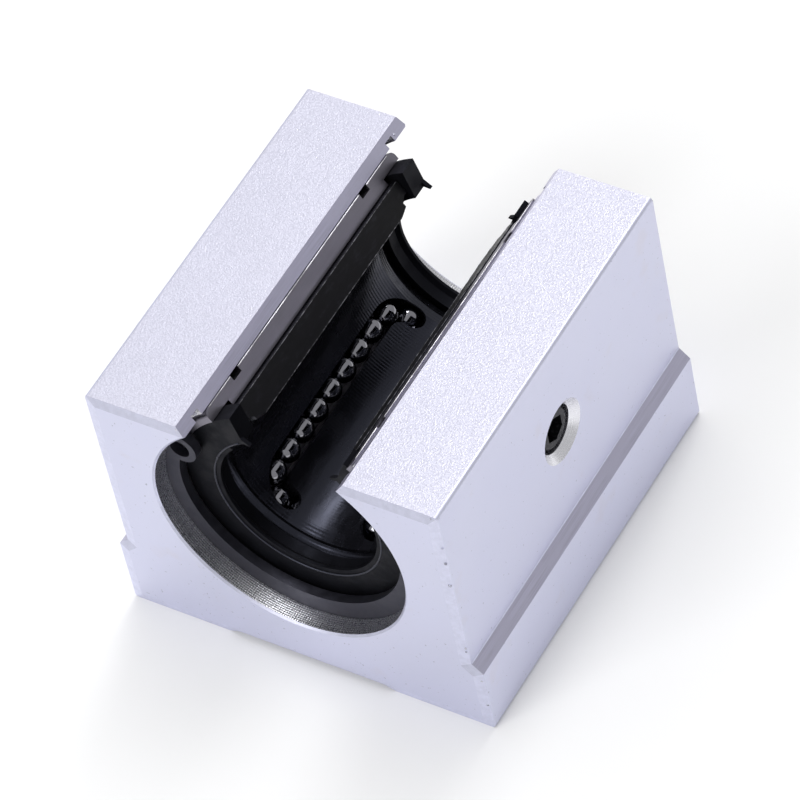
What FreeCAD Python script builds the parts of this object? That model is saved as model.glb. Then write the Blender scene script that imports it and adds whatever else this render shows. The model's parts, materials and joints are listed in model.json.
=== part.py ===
import FreeCAD, Part
import math
import os

# Open linear ball bearing block for a 20 mm shaft.  Millimetres and degrees.
# The origin is the centre of the mounting face.  +Z points up to the slot and the shaft lies along Y,
# with the front at -Y.  Angles round the bore start at +Z and turn towards +X.

# Shaft and balls
shaft_diameter = 20.0
ball_diameter = 3.175
ball_spacing = 3.2
balls_per_circuit = 20
circuit_count = 4
circuit_spacing = 72.0
circuit_turn = 1.5
row_offset = 3.3
row_half_length = 11.45
first_ball_y = 0.25
return_lift = 0.76
lift_angle = 110.0

# Housing block
block_length = 50.0
base_width = 48.0
body_width = 45.3
body_height = 37.1
bore_height = 23.0
bore_diameter = 32.0
bore_entry_chamfer = 0.25
ledge_height = 9.9
ledge_rise = 1.3
end_bevel_width = 1.3
end_bevel_depth = 0.3
edge_break = 0.5
slot_half_angle = 37.2
relief_width = 22.2
relief_depth = 0.8
relief_slope = 1.5

# Fixing holes in the mounting face, tapped M6
fixing_spacing_x = 35.0
fixing_spacing_y = 35.0
fixing_drill_diameter = 5.0
fixing_depth = 12.0
fixing_entry_chamfer = 0.4
drill_point_angle = 118.0

# Set screw in the right side
screw_diameter = 6.0
screw_length = 6.0
screw_height_above_shaft = 0.9
screw_thread_gap = 0.04
screw_end_chamfer = 0.6
screw_cup_diameter = 3.0
screw_cup_depth = 0.8
screw_seat_diameter = 4.2
screw_seat_depth = 0.3
screw_countersink_diameter = 8.0
hex_across_flats = 3.0
hex_depth = 3.0

# Outer sleeve of hardened steel
sleeve_length = 42.0
sleeve_fit_gap = 0.05
sleeve_relief_diameter = 27.3
sleeve_return_diameter = 28.0
sleeve_slot_half_angle = 36.5
sleeve_end_round = 0.9
sleeve_counterbore_diameter = 29.0
sleeve_counterbore_depth = 3.5
sleeve_groove_place = 14.45
sleeve_groove_width = 1.6
sleeve_groove_depth = 0.75
race_width = 2.0
race_gap = 0.02
race_run_out = 0.3
race_side_gap = 0.3

# Ball retainer, moulded resin
retainer_inner_diameter = 20.4
retainer_outer_diameter = 27.0
retainer_length = 36.4
retainer_slot_half_angle = 34.5
retainer_floor = 0.5
retainer_wide_inner_diameter = 23.2
retainer_cone_start = 15.6
retainer_step_place = 16.9
retainer_step_diameter = 21.2
retainer_wide_place = 17.7
retainer_step_outer_diameter = 22.3
track_gap = 0.06
ball_slot_width = 2.8

# End seals, moulded rubber
seal_thickness = 2.4
seal_side_gap = 0.1
seal_rim_gap = 0.1
seal_body_inner_diameter = 21.0
seal_lip_thickness = 0.7
seal_lip_root_diameter = 21.8
seal_slot_width_at_lip = 11.5
seal_slot_width_at_rim = 14.5
seal_lip_stop_angle = 50.0
seal_turn = 4.0
seal_hook_length = 0.7
seal_hook_thickness = 0.5
seal_hook_height = 0.9

# Retaining rings, spring steel
ring_thickness = 1.2
ring_side_gap = 0.05
ring_groove_width = 1.3
ring_groove_place = 21.1
ring_groove_diameter = 33.7
ring_groove_gap = 0.1
ring_width_at_bottom = 3.35
ring_thinning = 0.7
ring_lug_angle = 64.5
ring_lug_radius = 2.1
ring_eye_diameter = 2.5
ring_eye_circle_diameter = 29.3

# Sizes that follow from the ones above
half_length = block_length / 2
shaft_radius = shaft_diameter / 2
ball_radius = ball_diameter / 2
bore_radius = bore_diameter / 2
load_radius = shaft_radius + ball_radius
return_radius = load_radius + return_lift
race_radius = load_radius + ball_radius + race_gap
sleeve_radius = bore_radius - sleeve_fit_gap
sleeve_half_length = sleeve_length / 2
retainer_half_length = retainer_length / 2
track_width = ball_diameter + 2 * track_gap
seal_radius = sleeve_counterbore_diameter / 2 - seal_rim_gap
seal_inner_place = retainer_half_length + seal_side_gap
seal_outer_place = seal_inner_place + seal_thickness
ring_radius = ring_groove_diameter / 2 - ring_groove_gap
ring_place = ring_groove_place + ring_side_gap
screw_height = bore_height + screw_height_above_shaft
screw_tip_x = sleeve_radius - screw_seat_depth
middle_angles = [circuit_turn + circuit_spacing * step for step in (-2, -1, 1, 2)]

# Cutters reach this far past what they cut
past = 5.0

bore_centre = FreeCAD.Vector(0, 0, bore_height)
along_bore = FreeCAD.Vector(0, 1, 0)


def radial_point(radius, angle, y):
    """The point at a radius and angle round the bore."""
    turned = math.radians(angle)
    return FreeCAD.Vector(radius * math.sin(turned), y, bore_height + radius * math.cos(turned))


def flat_face(corners):
    """A flat face with straight edges."""
    return Part.Face(Part.makePolygon(corners + corners[:1]))


def revolved(profile, start=0.0, sweep=360.0):
    """A closed outline of (radius, y) points, revolved round the bore from one angle on."""
    points = [radial_point(radius, 0.0, y) for radius, y in profile]
    solid = flat_face(points).revolve(bore_centre, along_bore, sweep)
    solid.rotate(bore_centre, along_bore, start)
    return solid


def sector(inner, outer, y_low, y_high, start=0.0, sweep=360.0):
    """Part of a plain ring round the bore, from one angle on."""
    return revolved([(inner, y_low), (outer, y_low), (outer, y_high), (inner, y_high)], start, sweep)


def prism(points, y_low, y_high):
    """An outline of (x, z) points drawn out along the bore."""
    corners = [FreeCAD.Vector(x, y_low, z) for x, z in points]
    return flat_face(corners).extrude(along_bore * (y_high - y_low))


def both_ends(solid):
    """A front solid and its mirror image at the back."""
    return [solid, solid.mirror(FreeCAD.Vector(0, 0, 0), along_bore)]


def slot_wedge(half_angle, outer):
    """The space between two radial planes, open at the top."""
    return sector(shaft_radius / 2, outer, -half_length - past, half_length + past,
                  -half_angle, 2 * half_angle)


def housing_outline(inset):
    """Half widths and heights of the extruded section, drawn in by an even amount."""
    ledge_lean = math.atan2((base_width - body_width) / 2, ledge_rise)
    step = inset * math.tan(ledge_lean / 2)
    base_x = base_width / 2 - inset
    body_x = body_width / 2 - inset
    return [(base_x, inset), (base_x, ledge_height - step),
            (body_x, ledge_height + ledge_rise - step), (body_x, body_height - inset)]


def housing_section(inset, y):
    """Corners of the extruded section at one place, drawn in by an even amount."""
    right = housing_outline(inset)
    left = [(-x, z) for x, z in reversed(right)]
    return [FreeCAD.Vector(x, y, z) for x, z in right + left]


def housing_blank():
    """The extrusion with a shallow bevel all round its two ends and its long outer edges broken."""
    straight = half_length - end_bevel_depth
    sections = [housing_section(end_bevel_width, -half_length), housing_section(0.0, -straight),
                housing_section(0.0, straight), housing_section(end_bevel_width, half_length)]
    faces = [flat_face(sections[0]), flat_face(sections[-1])]
    for near, far in zip(sections, sections[1:]):
        for corner in range(len(near)):
            other = corner - 1
            faces.append(flat_face([near[other], near[corner], far[corner], far[other]]))
    blank = Part.makeSolid(Part.makeShell(faces))
    long_corners = [(base_width / 2, 0.0), (body_width / 2, body_height)]

    def is_long_corner(edge):
        middle = edge.CenterOfMass
        return abs(middle.y) < edge_break and any(
            abs(abs(middle.x) - x) < edge_break and abs(middle.z - z) < edge_break
            for x, z in long_corners)

    return blank.makeFillet(edge_break, [edge for edge in blank.Edges if is_long_corner(edge)])


def fixing_hole():
    """One tapped hole in the mounting face, at the drill's size, with its point and entry chamfer."""
    drill = fixing_drill_diameter / 2
    point = drill / math.tan(math.radians(drill_point_angle / 2))
    wide = drill + fixing_entry_chamfer
    outline = [(0, -past), (wide, -past), (wide, 0), (drill, fixing_entry_chamfer),
               (drill, fixing_depth), (0, fixing_depth + point)]
    corners = [FreeCAD.Vector(x, 0, z) for x, z in outline]
    return flat_face(corners).revolve(FreeCAD.Vector(0, 0, 0), FreeCAD.Vector(0, 0, 1), 360)


def turned_on_screw_axis(outline):
    """A closed outline of (x, radius) points, revolved round the set screw's axis."""
    corners = [FreeCAD.Vector(x, 0, screw_height + radius) for x, radius in outline]
    return flat_face(corners).revolve(FreeCAD.Vector(0, 0, screw_height), FreeCAD.Vector(1, 0, 0), 360)


def screw_hole():
    """The set screw's hole from the bore to the right side, with its countersink."""
    hole = screw_diameter / 2 + screw_thread_gap
    wide = screw_countersink_diameter / 2
    side = body_width / 2
    return turned_on_screw_axis([(bore_radius - past, 0), (side + past, 0), (side + past, wide),
                                 (side, wide), (side - (wide - hole), hole), (bore_radius - past, hole)])


def housing_block():
    """The extruded aluminium body, machined for the bearing, the rings and the screws."""
    block = housing_blank()
    mouth = bore_radius + bore_entry_chamfer
    bore = revolved([(0, -half_length - past), (mouth + past, -half_length - past), (mouth, -half_length),
                     (bore_radius, -half_length + bore_entry_chamfer),
                     (bore_radius, half_length - bore_entry_chamfer), (mouth, half_length),
                     (mouth + past, half_length + past), (0, half_length + past)])
    wide = relief_width / 2
    relief = prism([(-wide, -past), (wide, -past), (wide, 0), (wide - relief_slope, relief_depth),
                    (relief_slope - wide, relief_depth), (-wide, 0)],
                   -half_length - past, half_length + past)
    groove = sector(bore_radius - past, ring_groove_diameter / 2,
                    ring_groove_place, ring_groove_place + ring_groove_width)
    cutters = [slot_wedge(slot_half_angle, body_height), relief, screw_hole()] + both_ends(groove)
    for side_x in (-1, 1):
        for side_y in (-1, 1):
            hole = fixing_hole()
            hole.translate(FreeCAD.Vector(side_x * fixing_spacing_x / 2, side_y * fixing_spacing_y / 2, 0))
            cutters.append(hole)
    return block.cut(bore).cut(cutters)


def is_outer_end(edge):
    """Whether an edge is the outer circle at an end of the sleeve."""
    curve = edge.Curve
    return (isinstance(curve, Part.Circle) and abs(curve.Radius - sleeve_radius) < sleeve_fit_gap
            and abs(abs(curve.Center.y) - sleeve_half_length) < sleeve_fit_gap)


def outer_sleeve():
    """The steel sleeve: races for the load rows, relief for the return rows, open at the slot."""
    relief = sleeve_relief_diameter / 2
    counterbore = sleeve_counterbore_diameter / 2
    floor_place = sleeve_half_length - sleeve_counterbore_depth
    groove_low = sleeve_groove_place - sleeve_groove_width / 2
    groove_high = sleeve_groove_place + sleeve_groove_width / 2
    groove_floor = sleeve_radius - sleeve_groove_depth
    half = [(sleeve_radius, groove_low), (groove_floor, groove_low), (groove_floor, groove_high),
            (sleeve_radius, groove_high), (sleeve_radius, sleeve_half_length),
            (counterbore, sleeve_half_length), (counterbore, floor_place), (relief, floor_place)]
    mirrored = [(radius, -y) for radius, y in reversed(half)]
    sleeve = revolved(half + mirrored)
    sleeve = sleeve.makeFillet(sleeve_end_round, [edge for edge in sleeve.Edges if is_outer_end(edge)])
    race_half_length = row_half_length - race_run_out
    row_angle = math.degrees(math.asin(row_offset / load_radius))
    race_half_angle = math.degrees(race_width / 2 / race_radius)
    return_angle = math.degrees(math.asin((row_offset + track_width / 2) / return_radius))
    relief_end_angle = row_angle - race_half_angle - math.degrees(race_side_gap / race_radius)
    races = []
    reliefs = []
    for middle in middle_angles:
        races.append(sector(race_radius, relief + race_gap, -race_half_length, race_half_length,
                            middle + row_angle - race_half_angle, 2 * race_half_angle))
        reliefs.append(sector(relief - race_gap, sleeve_return_diameter / 2, -floor_place, floor_place,
                              middle - return_angle, return_angle + relief_end_angle))
    seat = Part.makeCylinder(screw_seat_diameter / 2, past, FreeCAD.Vector(screw_tip_x, 0, screw_height),
                             FreeCAD.Vector(1, 0, 0))
    cutters = reliefs + [slot_wedge(sleeve_slot_half_angle, bore_radius + past), seat]
    return sleeve.fuse(races).cut(cutters)


def oblong(radius, low, high):
    """A solid with straight sides and round ends, standing on end over the middle of a circuit."""
    straight = Part.makeBox(2 * radius, 2 * row_half_length, high - low,
                            FreeCAD.Vector(-radius, -row_half_length, low))
    ends = [Part.makeCylinder(radius, high - low, FreeCAD.Vector(0, side * row_half_length, low))
            for side in (-1, 1)]
    return straight.fuse(ends).removeSplitter()


def placed_on_circuit(solid, middle):
    """A cutter made over the origin, moved to the bore and turned to its circuit."""
    moved = solid.copy()
    moved.translate(bore_centre)
    moved.rotate(bore_centre, along_bore, middle)
    return moved


def ball_track():
    """The channel in which one circuit of balls runs, open to the outside of the retainer."""
    low = retainer_inner_diameter / 2 - past
    high = retainer_outer_diameter / 2 + past
    channel = oblong(row_offset + track_width / 2, low, high)
    island = oblong(row_offset - track_width / 2, low, high)
    floor = Part.makeCylinder(retainer_inner_diameter / 2 + retainer_floor, block_length,
                              FreeCAD.Vector(0, -half_length, 0), along_bore)
    return channel.cut([island, floor])


def ball_slot():
    """The narrow slot through which the load row and half of each turn meet the shaft."""
    low = retainer_inner_diameter / 2 - past
    high = retainer_outer_diameter / 2
    half_width = ball_slot_width / 2
    offset = row_offset * (retainer_inner_diameter / 2 + retainer_floor) / load_radius
    way = oblong(offset + half_width, low, high).cut(oblong(offset - half_width, low, high))
    load_side = Part.makeBox(block_length, block_length, high - low,
                             FreeCAD.Vector(0, -half_length, low))
    ends = [Part.makeCylinder(half_width, high - low,
                              FreeCAD.Vector(0, side * (row_half_length + offset), low))
            for side in (-1, 1)]
    return way.common(load_side).fuse(ends)


def ball_retainer():
    """The resin cage: a slotted tube with a looped track for each circuit and stepped ends."""
    inner = retainer_inner_diameter / 2
    outer = retainer_outer_diameter / 2
    half = [(outer, retainer_half_length), (retainer_wide_inner_diameter / 2, retainer_half_length),
            (retainer_wide_inner_diameter / 2, retainer_wide_place),
            (retainer_step_outer_diameter / 2, retainer_step_place),
            (retainer_step_diameter / 2, retainer_step_place), (inner, retainer_cone_start)]
    mirrored = [(radius, -y) for radius, y in reversed(half)]
    tube = revolved(half + mirrored)
    opening = slot_wedge(retainer_slot_half_angle, bore_radius)
    opening.rotate(bore_centre, along_bore, circuit_turn)
    cutters = [opening]
    for middle in middle_angles:
        cutters.append(placed_on_circuit(ball_track(), middle))
        cutters.append(placed_on_circuit(ball_slot(), middle))
    return tube.cut(cutters)


def loop_place(distance):
    """Where a distance round the ball loop lies: which stretch, across, along and radius."""
    row = 2 * row_half_length
    turn = math.pi * row_offset
    distance = distance % (2 * row + 2 * turn)
    if distance < row:
        return "load", row_offset, distance - row_half_length, load_radius
    if distance < row + turn:
        angle = (distance - row) / row_offset
        lift = return_lift * min(1.0, math.degrees(angle) / lift_angle)
        return ("back_turn", row_offset * math.cos(angle),
                row_half_length + row_offset * math.sin(angle), load_radius + lift)
    if distance < 2 * row + turn:
        return "return", -row_offset, row_half_length - (distance - row - turn), return_radius
    angle = (2 * row + 2 * turn - distance) / row_offset
    lift = return_lift * min(1.0, math.degrees(angle) / lift_angle)
    return ("front_turn", row_offset * math.cos(angle),
            -row_half_length - row_offset * math.sin(angle), load_radius + lift)


def ball_centre(distance, middle):
    """Centre of a ball that lies at a distance round the loop of one circuit."""
    _, across, along, radius = loop_place(distance)
    return radial_point(radius, middle + math.degrees(math.asin(across / radius)), along)


def next_ball(distance, direction):
    """The distance round the loop at which the next ball touches the last one."""
    here = ball_centre(distance, 0.0)
    low, high = ball_radius, 2 * ball_diameter
    for _ in range(40):
        trial = (low + high) / 2
        if ball_centre(distance + direction * trial, 0.0).distanceToPoint(here) < ball_spacing:
            low = trial
        else:
            high = trial
    return distance + direction * high


def ball_distances():
    """Places of the balls round one loop, end to end, with the one spare gap in the return row."""
    places = [row_half_length + first_ball_y]
    onward = balls_per_circuit // 2
    for _ in range(onward):
        places.append(next_ball(places[-1], 1))
    for _ in range(balls_per_circuit - onward - 1):
        places.insert(0, next_ball(places[0], -1))
    return places


def ball_groups(middle):
    """The balls of one circuit as one group of separate spheres for each stretch of the loop."""
    groups = {}
    for distance in ball_distances():
        stretch = loop_place(distance)[0]
        ball = Part.makeSphere(ball_radius, ball_centre(distance, middle))
        groups.setdefault(stretch, []).append(ball)
    return {stretch: Part.makeCompound(balls) for stretch, balls in groups.items()}


def seal_slot(outer):
    """The gap between the seal's tips, a little narrower at the lip than at the rim."""
    near = seal_slot_width_at_lip / 2
    far = seal_slot_width_at_rim / 2
    near_height = math.sqrt(shaft_radius ** 2 - near ** 2)
    far_height = math.sqrt(seal_radius ** 2 - far ** 2)
    slope = (far - near) / (far_height - near_height)
    bottom = near_height - near / 2
    top = outer + past
    bottom_x = near - slope * (near_height - bottom)
    top_x = far + slope * (top - far_height)
    return prism([(-bottom_x, bore_height + bottom), (bottom_x, bore_height + bottom),
                  (top_x, bore_height + top), (-top_x, bore_height + top)],
                 -half_length - past, half_length + past)


def seal_hook(side):
    """The small lip end that stands into the gap at the inner corner of one tip."""
    tip_x = seal_slot_width_at_lip / 2
    low = bore_height + math.sqrt(shaft_radius ** 2 - (tip_x - seal_hook_length) ** 2)
    foot = tip_x + seal_hook_length
    outline = [(side * (tip_x - seal_hook_length), low), (side * foot, low),
               (side * foot, low + seal_hook_height)]
    return prism(outline, -seal_outer_place, -seal_outer_place + seal_hook_thickness)


def front_seal():
    """The rubber wiper in front of the cage: a C-shaped body, its lip and its two tips."""
    body_inner = seal_body_inner_diameter / 2
    lip_root = seal_lip_root_diameter / 2
    lip_low = -seal_outer_place
    lip_high = lip_low + seal_lip_thickness
    body = sector(body_inner, seal_radius, -seal_outer_place, -seal_inner_place)
    lip = revolved([(lip_root, lip_low), (shaft_radius, (lip_low + lip_high) / 2 - seal_lip_thickness / 4),
                    (shaft_radius, (lip_low + lip_high) / 2 + seal_lip_thickness / 4),
                    (lip_root, lip_high + seal_lip_thickness)],
                   seal_lip_stop_angle, 360 - 2 * seal_lip_stop_angle)
    hooks = [seal_hook(side) for side in (-1, 1)]
    seal = body.fuse(lip).cut(seal_slot(seal_radius)).fuse(hooks)
    seal.rotate(bore_centre, along_bore, seal_turn)
    return seal


def front_ring():
    """The front retaining ring: wide at the bottom, with an eyed lug at each end."""
    low = -ring_place - ring_thickness
    disc = sector(ring_radius / 2, ring_radius, low, -ring_place)
    thin = ring_radius - ring_width_at_bottom + ring_thinning
    hollow = Part.makeCylinder(thin, ring_thickness, FreeCAD.Vector(0, low, bore_height + ring_thinning),
                               along_bore)
    eye_radius = ring_eye_circle_diameter / 2
    lug_half_angle = math.degrees(math.asin(ring_lug_radius / eye_radius))
    gap_half_angle = ring_lug_angle - lug_half_angle
    opening = sector(ring_radius / 4, ring_radius + past, low - past, -ring_place + past,
                     -gap_half_angle, 2 * gap_half_angle)
    ring = disc.cut([hollow, opening])
    eyes = []
    for side in (-1, 1):
        centre = radial_point(eye_radius, side * ring_lug_angle, low)
        lug = Part.makeCylinder(ring_lug_radius, ring_thickness, centre, along_bore)
        shoulder = sector(eye_radius, ring_radius, low, -ring_place,
                          side * ring_lug_angle - lug_half_angle, 2 * lug_half_angle)
        ring = ring.fuse([lug, shoulder])
        eyes.append(Part.makeCylinder(ring_eye_diameter / 2, ring_thickness, centre, along_bore))
    rim = Part.makeCylinder(ring_radius, ring_thickness, FreeCAD.Vector(0, low, bore_height), along_bore)
    return ring.common(rim).cut(eyes).removeSplitter()


def set_screw():
    """The hexagon socket set screw with a cup point, which holds the sleeve."""
    radius = screw_diameter / 2
    tip = screw_tip_x
    face = tip + screw_length
    cup = screw_cup_diameter / 2
    body = turned_on_screw_axis([(tip + screw_cup_depth, 0), (tip, cup), (tip + radius - cup, radius),
                                 (face - screw_end_chamfer, radius), (face, radius - screw_end_chamfer),
                                 (face, 0)])
    corner = hex_across_flats / math.sqrt(3)
    corners = [FreeCAD.Vector(face - hex_depth, corner * math.sin(math.radians(60 * step)),
                              screw_height + corner * math.cos(math.radians(60 * step)))
               for step in range(6)]
    socket = flat_face(corners).extrude(FreeCAD.Vector(hex_depth, 0, 0))
    return body.cut(socket)


def all_parts():
    """Every piece under the name of its file."""
    parts = {"housing_block": housing_block(), "outer_sleeve": outer_sleeve(),
             "ball_retainer": ball_retainer(), "set_screw": set_screw()}
    parts["end_seal_front"], parts["end_seal_back"] = both_ends(front_seal())
    parts["retaining_ring_front"], parts["retaining_ring_back"] = both_ends(front_ring())
    for number, middle in enumerate(middle_angles, 1):
        for stretch, balls in ball_groups(middle).items():
            parts[f"circuit_{number}_{stretch}_balls"] = balls
    return parts


os.makedirs("parts", exist_ok=True)
for name, shape in all_parts().items():
    shape.exportStep(f"parts/{name}.step")
    print(name, len(shape.Solids), "solids", round(shape.Volume, 2), "mm3", shape.isValid())
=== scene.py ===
import json
import math

import bpy
from bpy.props import FloatProperty, FloatVectorProperty, IntProperty, PointerProperty
from mathutils import Matrix, Vector


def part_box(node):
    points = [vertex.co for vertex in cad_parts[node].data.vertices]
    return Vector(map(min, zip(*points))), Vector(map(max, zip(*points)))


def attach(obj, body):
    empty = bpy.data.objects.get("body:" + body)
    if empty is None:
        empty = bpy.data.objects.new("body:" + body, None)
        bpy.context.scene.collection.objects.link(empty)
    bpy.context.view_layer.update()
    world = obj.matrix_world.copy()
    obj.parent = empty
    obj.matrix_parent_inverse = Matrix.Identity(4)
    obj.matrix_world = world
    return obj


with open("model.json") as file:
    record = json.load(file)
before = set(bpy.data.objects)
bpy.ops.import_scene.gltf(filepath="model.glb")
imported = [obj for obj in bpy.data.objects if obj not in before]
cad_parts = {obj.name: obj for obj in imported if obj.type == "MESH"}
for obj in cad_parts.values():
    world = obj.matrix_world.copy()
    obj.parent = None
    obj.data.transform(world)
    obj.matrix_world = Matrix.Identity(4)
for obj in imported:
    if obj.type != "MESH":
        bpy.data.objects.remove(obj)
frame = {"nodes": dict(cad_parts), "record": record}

bl_info = {
    "name": "Linear bearing block",
    "version": (1, 0, 0),
    "blender": (4, 5, 0),
    "location": "View3D > Sidebar > Bearing",
    "description": "Finishes and lights an open linear ball bearing block in metals, resin and rubber",
    "category": "Object",
}

NODES = frame["nodes"]
MILLIMETRE = 0.001
BLOCK_LOW, BLOCK_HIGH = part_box("housing_block")
SHAFT_HEIGHT = frame["record"]["mounts"][0]["pos_m"][2]
SCREW_HEIGHT = SHAFT_HEIGHT + 0.9 * MILLIMETRE
BORE_RADIUS = 16.0 * MILLIMETRE
FIXING_PLACE = 17.5 * MILLIMETRE
FIXING_RADIUS = 2.5 * MILLIMETRE
FIXING_CORNERS = ((-1, -1), (1, -1), (-1, 1), (1, 1))


# Finishes ------------------------------------------------------------------------------------------


class Finish:
    """A Principled material, with short ways to add the nodes of its pattern."""

    def __init__(self, name, colour, metallic, roughness, specular=0.5):
        self.material = bpy.data.materials.new(name)
        self.material.use_nodes = True
        self.tree = self.material.node_tree
        self.shader = self.tree.nodes["Principled BSDF"]
        self.shader.inputs["Base Color"].default_value = (*colour, 1.0)
        self.shader.inputs["Metallic"].default_value = metallic
        self.shader.inputs["Roughness"].default_value = roughness
        self.shader.inputs["Specular IOR Level"].default_value = specular
        self.place = self.node("ShaderNodeTexCoord").outputs["Object"]
        self.normal = None

    def node(self, kind, **settings):
        made = self.tree.nodes.new(kind)
        for name, value in settings.items():
            setattr(made, name, value)
        return made

    def feed(self, source, socket):
        """Links a node's output to a socket, or sets the socket to a plain value."""
        if isinstance(source, bpy.types.NodeSocket):
            self.tree.links.new(source, socket)
        else:
            socket.default_value = source

    def maths(self, operation, *values):
        made = self.node("ShaderNodeMath", operation=operation)
        for value, socket in zip(values, made.inputs):
            self.feed(value, socket)
        return made.outputs[0]

    def moved(self, offset, stretch=(1.0, 1.0, 1.0)):
        """Object coordinates measured from another point and stretched along each axis."""
        made = self.node("ShaderNodeMapping")
        self.feed(self.place, made.inputs["Vector"])
        made.inputs["Location"].default_value = [-o * s for o, s in zip(offset, stretch)]
        made.inputs["Scale"].default_value = stretch
        return made.outputs["Vector"]

    def axes(self, offset=(0.0, 0.0, 0.0)):
        """The three coordinates, measured from a point."""
        made = self.node("ShaderNodeSeparateXYZ")
        self.feed(self.moved(offset), made.inputs[0])
        return made.outputs

    def radius(self, offset, first, second):
        """Distance from an axis through a point, in the plane of two coordinates."""
        place = self.axes(offset)
        squares = [self.maths("MULTIPLY", place[axis], place[axis]) for axis in (first, second)]
        return self.maths("SQRT", self.maths("ADD", *squares))

    def noise(self, grain, detail=2.0, stretch=(1.0, 1.0, 1.0), soft=0.5):
        """Cloudy noise whose lumps have a size in metres, longer where stretch is small."""
        made = self.node("ShaderNodeTexNoise")
        self.feed(self.moved((0.0, 0.0, 0.0), stretch), made.inputs["Vector"])
        made.inputs["Scale"].default_value = 1.0 / grain
        made.inputs["Detail"].default_value = detail
        made.inputs["Roughness"].default_value = soft
        return made.outputs["Fac"]

    def lines(self, along, pitch, detail=2.0):
        """Uneven lines across one coordinate."""
        made = self.node("ShaderNodeTexNoise", noise_dimensions="1D")
        self.feed(along, made.inputs["W"])
        made.inputs["Scale"].default_value = 1.0 / pitch
        made.inputs["Detail"].default_value = detail
        return made.outputs["Fac"]

    def waves(self, along, pitch):
        """Even ridges across one coordinate, from 0 to 1."""
        turned = self.maths("MULTIPLY", along, 2.0 * math.pi / pitch)
        return self.maths("MULTIPLY_ADD", self.maths("SINE", turned), 0.5, 0.5)

    def grains(self, size):
        """Small cells, as a rolled or etched surface has."""
        made = self.node("ShaderNodeTexVoronoi")
        self.feed(self.place, made.inputs["Vector"])
        made.inputs["Scale"].default_value = 1.0 / size
        return made.outputs

    def ramp(self, value, start, end, low=0.0, high=1.0):
        """A smooth change from low to high between two values."""
        made = self.node("ShaderNodeMapRange", interpolation_type="SMOOTHSTEP")
        for source, name in ((value, "Value"), (start, "From Min"), (end, "From Max"),
                             (low, "To Min"), (high, "To Max")):
            self.feed(source, made.inputs[name])
        return made.outputs["Result"]

    def colours(self, factor, first, second):
        """A mix of two colours, each a triple or another node's output."""
        made = self.node("ShaderNodeMix", data_type="RGBA")
        self.feed(factor, made.inputs["Factor"])
        for source, name in ((first, "A_Color"), (second, "B_Color")):
            socket = next(s for s in made.inputs if s.identifier == name)
            self.feed(source if isinstance(source, bpy.types.NodeSocket) else (*source, 1.0), socket)
        return next(s for s in made.outputs if s.identifier == "Result_Color")

    def bump(self, height, depth):
        """Relief of a depth in metres, laid over what was there before."""
        made = self.node("ShaderNodeBump")
        made.inputs["Strength"].default_value = 1.0
        made.inputs["Distance"].default_value = depth
        self.feed(height, made.inputs["Height"])
        if self.normal is not None:
            self.feed(self.normal, made.inputs["Normal"])
        self.normal = made.outputs["Normal"]

    def gloss(self, tint):
        """Tints the highlights of a surface that isn't metal."""
        self.shader.inputs["Specular Tint"].default_value = (*tint, 1.0)

    def done(self, colour=None, roughness=None):
        """Links the pattern to the shader and returns the material."""
        for source, name in ((colour, "Base Color"), (roughness, "Roughness"), (self.normal, "Normal")):
            if source is not None:
                self.feed(source, self.shader.inputs[name])
        return self.material


def shade(colour, factor):
    """A colour made darker or lighter by a factor."""
    return tuple(channel * factor for channel in colour)


def rolled_land(look):
    """The bright top faces: anodised over a grainy rolled skin that sparkles, darker and duller in the
    hollows of its lumps, partly the grain's own tone and partly painted shade.
    """
    finish = Finish("rolled_land", look.aluminium, 1.0, 0.42)
    grains = finish.grains(0.17 * MILLIMETRE)
    lumps = finish.noise(0.2 * MILLIMETRE, 3.0)
    clouds = finish.noise(6.0 * MILLIMETRE)
    finish.bump(grains["Distance"], 0.01 * MILLIMETRE)
    finish.bump(lumps, 0.028 * MILLIMETRE)
    speckle = finish.ramp(lumps, 0.35, 0.65)
    grey = finish.colours(clouds, shade(look.aluminium, 0.97), shade(look.aluminium, 1.02))
    # Low parts of the lumps mix in the grain colour: the grain's own tone together with painted shade in its
    # hollows.
    colour = finish.colours(speckle, finish.colours(0.2, grey, look.grain), grey)
    return finish.done(colour, finish.ramp(speckle, 0.0, 1.0, 0.5, 0.34))


def satin_face(look):
    """The smooth sides and ends: a fine satin with faint draw lines along the extrusion."""
    finish = Finish("satin_face", look.satin, 1.0, 0.5)
    draw = finish.noise(0.25 * MILLIMETRE, 3.0, (1.0, 0.02, 1.0))
    clouds = finish.noise(8.0 * MILLIMETRE, 3.0)
    specks = finish.ramp(finish.noise(0.42 * MILLIMETRE, 4.0), 0.68, 0.73)
    finish.bump(draw, 0.0012 * MILLIMETRE)
    finish.bump(specks, -0.01 * MILLIMETRE)
    grey = finish.colours(clouds, shade(look.satin, 0.96), shade(look.satin, 1.03))
    stain = finish.ramp(finish.noise(5.0 * MILLIMETRE, 3.0), 0.6, 0.75)
    grey = finish.colours(finish.maths("MULTIPLY", stain, 0.35), grey, look.stain)
    colour = finish.colours(finish.maths("MULTIPLY", specks, 0.5), grey, shade(look.satin, 0.35))
    return finish.done(colour, finish.ramp(clouds, 0.3, 0.7, 0.46, 0.54))


def end_bevel(look, name, tone):
    """The shallow bevels and fillets: a milled band with a little grain, in a tone of the satin."""
    finish = Finish(name, shade(look.satin, tone), 1.0, 0.5)
    marks = finish.noise(0.9 * MILLIMETRE, 4.0, (1.0, 1.0, 1.0), 0.6)
    fine = finish.noise(0.14 * MILLIMETRE, 2.0)
    finish.bump(marks, 0.006 * MILLIMETRE)
    finish.bump(fine, 0.008 * MILLIMETRE)
    colour = finish.colours(finish.ramp(marks, 0.3, 0.7), shade(look.satin, 0.95 * tone),
                            shade(look.satin, 1.04 * tone))
    return finish.done(colour, finish.ramp(fine, 0.3, 0.7, 0.54, 0.44))


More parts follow.
